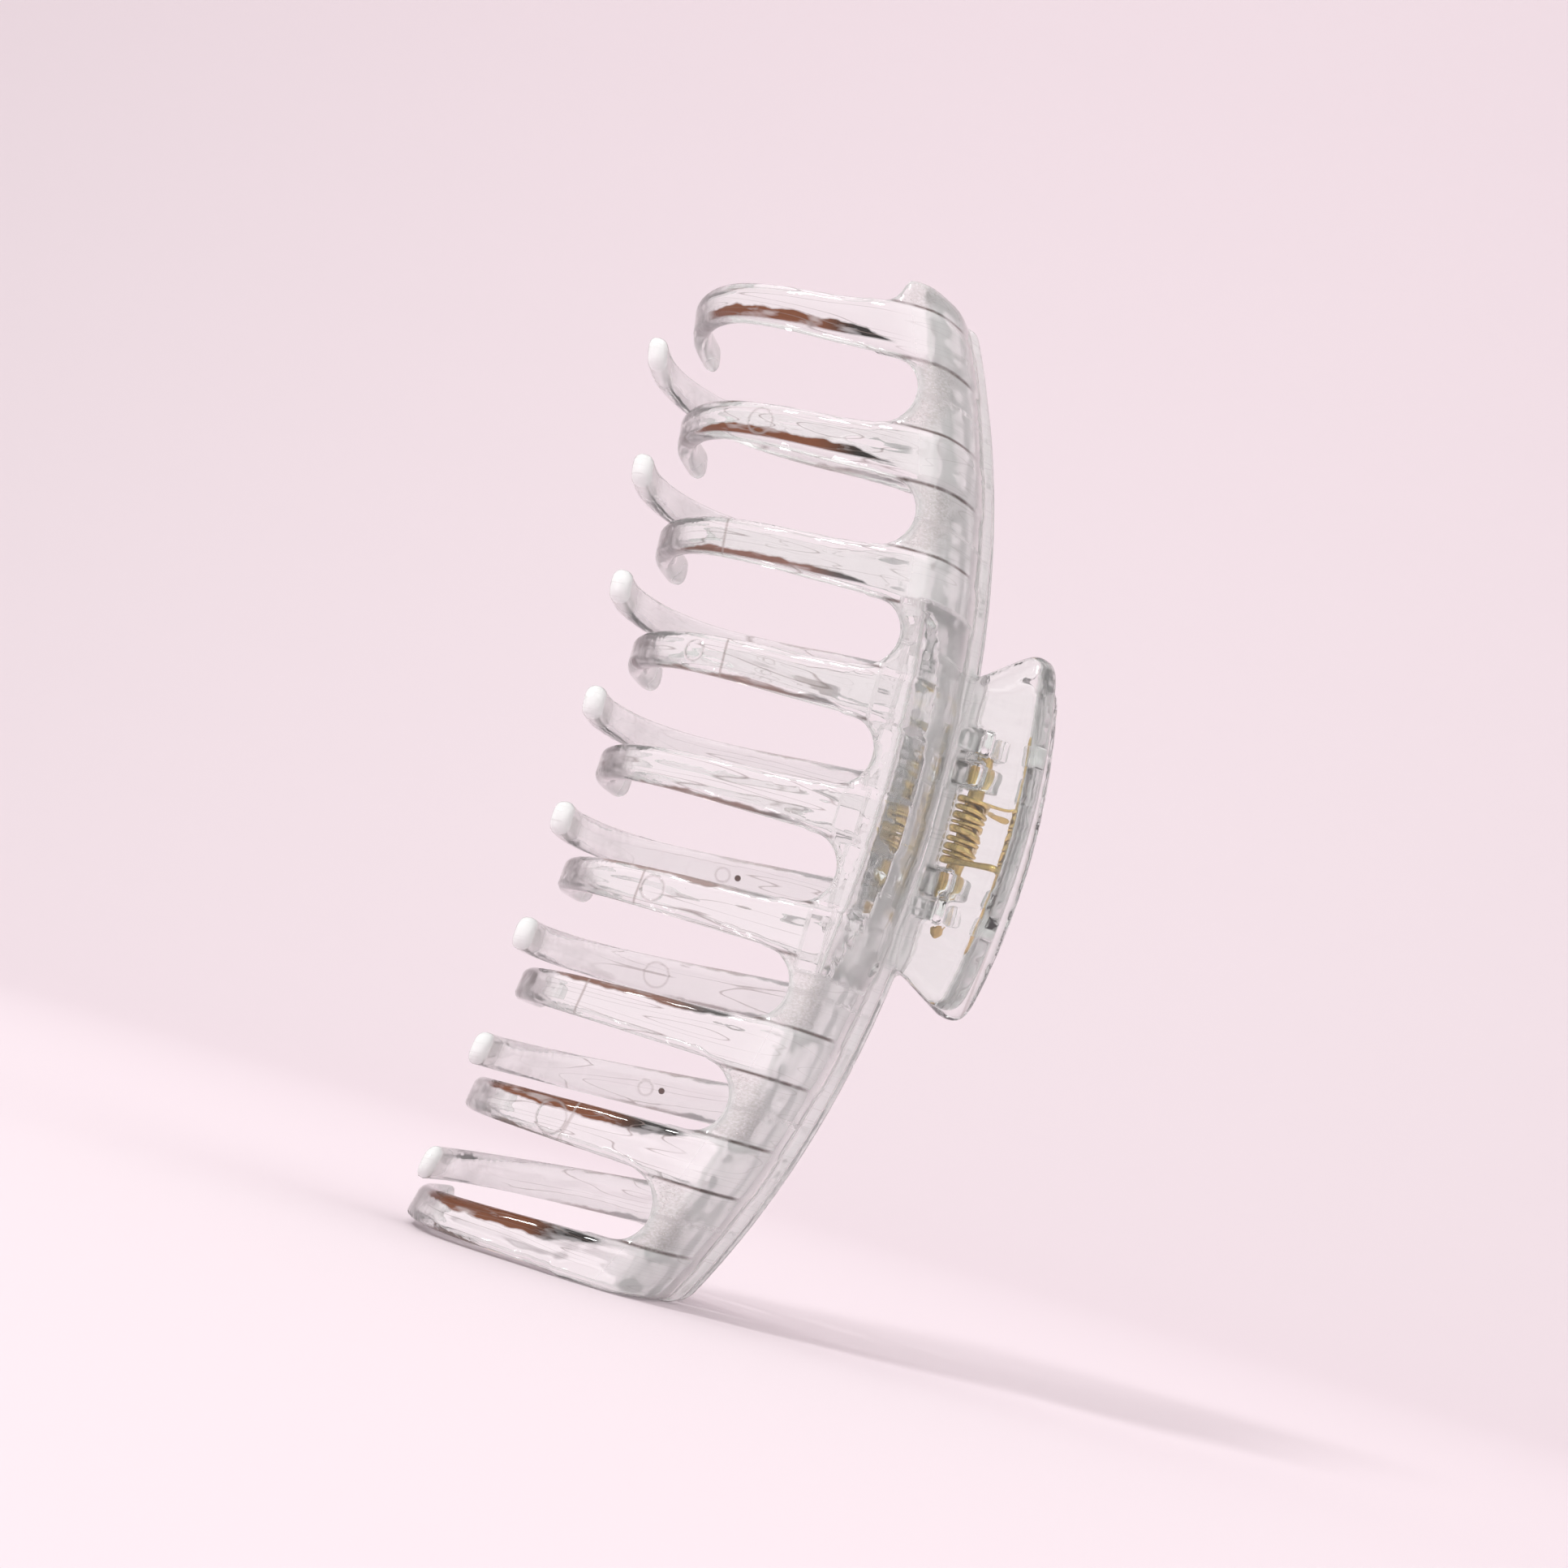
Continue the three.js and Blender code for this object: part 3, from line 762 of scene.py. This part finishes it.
def plastic_material(name, rings, specks):
    """Clear plastic. rings and specks are (point, radius) pairs, in metres."""
    m = Material(name)
    m.surface["IOR"].default_value = 1.5
    position = m.position()
    flow = m.attribute("flow", "Vector")
    # clear on the faces, with painted shade where the surface turns away, which stands in for the dark
    # edges that refraction gives a thick moulding
    edge = m.nodes.new("ShaderNodeLayerWeight")
    edge.inputs["Blend"].default_value = 0.35
    tint = m.mix(m.span(edge.outputs["Facing"], 0.55, 0.95), CLEAR, PAINTED_EDGE_SHADE)
    # the painted reflection streak is red-brown near the hook and nearly black at the root
    dark = streak_amount(m, flow)
    tint = m.mix(dark, tint, m.mix(m.attribute("warm"), PAINTED_REFLECTION_ROOT, PAINTED_REFLECTION_HOOK))
    hook_dark = hook_dark_amount(m, flow)
    tint = m.mix(hook_dark, tint, HOOK_DARK)
    tint = m.mix(line_amount(m, flow), tint, FLOW_LINE)
    # painted shade along the rib edges
    tint = m.mix(rib_edge_shade_amount(m, flow), tint, RIB_EDGE_SHADE)
    ring = ring_amount(m, position, rings)
    tint = m.mix(m.times(ring, 0.6), tint, RING)
    for point, radius in specks:
        speck = m.span(m.distance(position, point), radius * 0.8, radius, 1.0, 0.0)
        tint = m.mix(speck, tint, SPECK)
    grain = m.span(m.noise(flow, 1.0, 4.0, (3.0, 4.5, 3.0)), 0.25, 0.75)
    etched = m.times(m.attribute("frost"), grain)
    tint = m.mix(etched, tint, ETCHED)
    witness = m.span(m.math("ABSOLUTE", m.attribute("crossing")), 0.05, 0.2, 1.0, 0.0)
    tint = m.mix(m.times(witness, 0.6), tint, WITNESS)
    m.put(m.surface["Base Color"], tint)
    # what is marked or milky lets less light through
    cloudy = m.larger(m.times(etched, 0.5), m.attribute("tip"))
    cloudy = m.larger(cloudy, m.times(dark, 0.9))
    cloudy = m.larger(cloudy, m.times(hook_dark, 0.75))
    cloudy = m.larger(cloudy, m.times(m.attribute("milk"), 0.7))
    cloudy = m.larger(cloudy, m.attribute("veil"))
    m.put(m.surface["Transmission Weight"], m.span(cloudy, 0.0, 1.0, 0.98, 0.15))
    m.put(m.surface["Roughness"], m.span(etched, 0.0, 1.0, 0.02, 0.3))
    # ripples along the flow with the rings, then the etched grain
    ripple = m.noise(flow, 1.0, 1.0, (0.10, 0.5, 0.12))
    broad = m.bump(m.math("ADD", ripple, m.times(ring, 0.5)), 0.5, 0.00035)
    m.put(m.surface["Normal"], m.bump(etched, 0.4, 0.00006, broad))
    return m.data


def gold_material(name, colour, roughness):
    """Gold-coloured metal, a little darker and rougher where it is worn."""
    m = Material(name)
    m.surface["Metallic"].default_value = 1.0
    wear = m.noise(m.position(), 900.0, 4.0)
    tint = m.nodes.new("ShaderNodeValToRGB")
    tint.color_ramp.elements[0].position = 0.3
    tint.color_ramp.elements[0].color = (*[c * 0.55 for c in colour], 1)
    tint.color_ramp.elements[1].position = 0.7
    tint.color_ramp.elements[1].color = (*colour, 1)
    m.put(tint.inputs["Fac"], wear)
    m.put(m.surface["Base Color"], tint.outputs["Color"])
    m.put(m.surface["Roughness"], m.span(wear, 0.0, 1.0, roughness * 0.7, roughness * 1.5))
    m.put(m.surface["Normal"], m.bump(wear, 0.15, 0.0001))
    return m.data


pin_gold = gold_material("gold_pin", (0.8, 0.58, 0.26), 0.2)
wire_gold = gold_material("gold_wire", (0.78, 0.58, 0.24), 0.18)

front = Jaw(0, FRONT_TEETH, 0.0, 0.0, FRONT_LUG, REAR_LUG)
rear = Jaw(0.5, REAR_TEETH, REAR_LEAN, REAR_SLOPE, REAR_LUG, FRONT_LUG)
front_rings = [(surface_point(front, -1, i, reach, 0), radius) for i, reach, radius in FRONT_RINGS]
rear_rings = [(surface_point(rear, 1, i, reach, 1), radius) for i, reach, radius in REAR_RINGS]
rear_specks = [(surface_point(rear, 1, i, reach, 1), SPECK_R) for i, reach in REAR_SPECKS]
front_plastic = plastic_material("clear_plastic_front", front_rings, [])
rear_plastic = plastic_material("clear_plastic_rear", rear_rings, rear_specks)
make_jaw("front_jaw_shell", front, -1, "front", front_plastic)
make_jaw("rear_jaw_shell", rear, 1, "rear", rear_plastic)


# ---- Pin and spring ----
def tube_faces(rings, sides):
    """Quads between successive rings of vertices, and a cap at each end."""
    faces = []
    for r in range(rings - 1):
        for s in range(sides):
            a, b = r * sides + s, r * sides + (s + 1) % sides
            faces.append((a, b, b + sides, a + sides))
    faces.append(tuple(range(sides))[::-1])
    faces.append(tuple((rings - 1) * sides + s for s in range(sides)))
    return faces


def make_pin(sides=48):
    # each end as (distance in from the end, radius)
    point = [(0.01, 0.08), (0.1, 0.2), (0.8, 0.78), (0.95, 0.87), (1.1, PIN_R)]
    head = [(0.9, PIN_R), (0.6, 0.87), (0.3, 0.72), (0.08, 0.45), (0.01, 0.2)]
    rings = [(inset - PIN_HALF, radius) for inset, radius in point]
    rings += [(PIN_HALF - inset, radius) for inset, radius in head]
    turn = np.arange(sides) * 2 * math.pi / sides
    verts = []
    for z, r in rings:
        ring = np.stack([PIN_X + r * np.cos(turn), r * np.sin(turn), np.full(sides, MIDDLE + z)], 1)
        verts.append(ring)
    faces = tube_faces(len(rings), sides)
    return make_object("pin", np.vstack(verts), faces, "front", "hinge_pin", pin_gold)


def spring_line(leg_points=14, turn_points=36):
    """The wire's centreline: a leg, the coil, a leg."""
    cos, sin = math.cos(SPLAY), math.sin(SPLAY)

    def leg(along, side):
        out = COIL_R + LEG_LEAN * smooth(np.float64(along), 0, LEG)
        return (along * cos - out * sin, side * (along * sin + out * cos), side * COIL_HALF)

    start = math.pi / 2 + SPLAY
    sweep = 2 * math.pi * COIL_TURNS + math.pi - 2 * SPLAY
    gap = 0.3  # from a leg's first point to the coil
    points = [leg(a, 1) for a in np.linspace(LEG, gap, leg_points)]
    for share in np.linspace(0, 1, turn_points * COIL_TURNS):
        angle = start + share * sweep
        points.append((COIL_R * math.cos(angle), COIL_R * math.sin(angle), COIL_HALF * (1 - 2 * share)))
    points += [leg(a, -1) for a in np.linspace(gap, LEG, leg_points)]
    return np.array(points)


def make_spring(sides=14):
    line = spring_line()
    tangent = np.gradient(line, axis=0)
    tangent /= np.linalg.norm(tangent, axis=1, keepdims=True)
    normal = np.cross(tangent, np.array([0.0, 0.0, 1.0]))
    normal /= np.linalg.norm(normal, axis=1, keepdims=True)
    second = np.cross(tangent, normal)
    turn = np.arange(sides) * 2 * math.pi / sides
    radius = np.full(len(line), WIRE_R * 0.98)
    radius[0] = radius[-1] = WIRE_R * 0.7
    ring = normal[:, None] * np.cos(turn)[None, :, None] + second[:, None] * np.sin(turn)[None, :, None]
    verts = (line[:, None] + ring * radius[:, None, None]).reshape(-1, 3)
    verts = verts + np.array([PIN_X, 0, MIDDLE])
    faces = [f[::-1] for f in tube_faces(len(line), sides)]
    obj = make_object("spring_wire", verts, faces, None, "spring", wire_gold)
    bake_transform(obj)
    return obj


make_pin()
make_spring()

# ---- Camera ----
LENS = 65.2174
# a level camera looking along +Y, turned by one rotation vector
CAMERA_TURN = Vector((-0.140, 0.124, 0.278))
CAMERA_OFFSET = Vector((0.02198, -0.30111, 0.01668))


def make_camera():
    """Placed from the hinge's axis, at the height of the lowest tooth's middle, in metres."""
    spin = Matrix.Rotation(CAMERA_TURN.length, 3, CAMERA_TURN.normalized())
    axes = spin @ Matrix(((1, 0, 0), (0, 0, -1), (0, 1, 0)))
    right, down, forward = (Vector(axes[i]) for i in range(3))
    data = bpy.data.cameras.new("camera")
    data.sensor_width = 36.0
    data.lens = LENS
    data.clip_start = 0.01
    data.clip_end = 20
    camera = bpy.data.objects.new("camera", data)
    bpy.context.scene.collection.objects.link(camera)
    place = Matrix((right, -down, -forward)).transposed().to_4x4()
    place.translation = Vector((PIN_X / 1000, 0, TOOTH_W / 2000)) + CAMERA_OFFSET
    camera.matrix_world = place
    bpy.context.scene.camera = camera


make_camera()

# ---- Floor and light, in metres ----
FLOOR_HALF = 3.0
FLOOR_COLOUR = (0.86, 0.765, 0.81, 1)
BEND_START, BEND_R, BEND_ROWS, WALL_RISE = 0.5, 0.6, 12, 1.6
MIDDLE_OF_CLIP = (0, 0, 0.055)
# name, place, target, size and power
LIGHTS = [
    ("key", (-0.42, -0.62, 0.7), MIDDLE_OF_CLIP, (0.16, 0.16), 3.8),
    ("fill", (0.7, -0.25, 0.5), MIDDLE_OF_CLIP, (0.5, 0.7), 0.5),
    ("top", (-0.1, 0.35, 0.9), MIDDLE_OF_CLIP, (0.9, 0.6), 0.3),
    ("backdrop", (0.0, 0.1, 0.8), (-0.1, 0.95, 0.3), (0.9, 0.5), 1.6),
]
SKY = (1, 0.97, 0.96, 1)
SKY_STRENGTH = 0.78
BOUNCES = 24


def make_floor():
    """A floor that bends up into a wall behind the clip."""
    mesh = bpy.data.meshes.new("floor")
    profile = [(-FLOOR_HALF, 0.0), (BEND_START, 0.0)]
    for i in range(1, BEND_ROWS + 1):
        a = math.pi / 2 * i / BEND_ROWS
        profile.append((BEND_START + BEND_R * math.sin(a), BEND_R * (1 - math.cos(a))))
    profile.append((BEND_START + BEND_R, BEND_R + WALL_RISE))
    verts = [(x, y, z) for x in (-FLOOR_HALF, FLOOR_HALF) for y, z in profile]
    n = len(profile)
    mesh.from_pydata(verts, [], [(i, i + n, i + n + 1, i + 1) for i in range(n - 1)])
    mesh.polygons.foreach_set("use_smooth", [True] * len(mesh.polygons))
    m = Material("floor")
    m.surface["Base Color"].default_value = FLOOR_COLOUR
    m.surface["Roughness"].default_value = 0.9
    m.surface["Specular IOR Level"].default_value = 0.1
    mesh.materials.append(m.data)
    floor = bpy.data.objects.new("floor", mesh)
    bpy.context.scene.collection.objects.link(floor)


def area_light(name, at, target, size, power):
    light = bpy.data.lights.new(name, "AREA")
    light.shape = "RECTANGLE"
    light.size, light.size_y = size
    light.energy = power
    obj = bpy.data.objects.new(name, light)
    bpy.context.scene.collection.objects.link(obj)
    obj.location = at
    aim = Vector(target) - Vector(at)
    obj.rotation_euler = aim.to_track_quat("-Z", "Y").to_euler()


make_floor()
for light in LIGHTS:
    area_light(*light)
world = bpy.data.worlds.new("world")
bpy.context.scene.world = world
world.use_nodes = True
world.node_tree.nodes["Background"].inputs["Color"].default_value = SKY
world.node_tree.nodes["Background"].inputs["Strength"].default_value = SKY_STRENGTH
bpy.context.scene.view_settings.view_transform = "Standard"
bpy.context.scene.cycles.max_bounces = BOUNCES
bpy.context.scene.cycles.transmission_bounces = BOUNCES
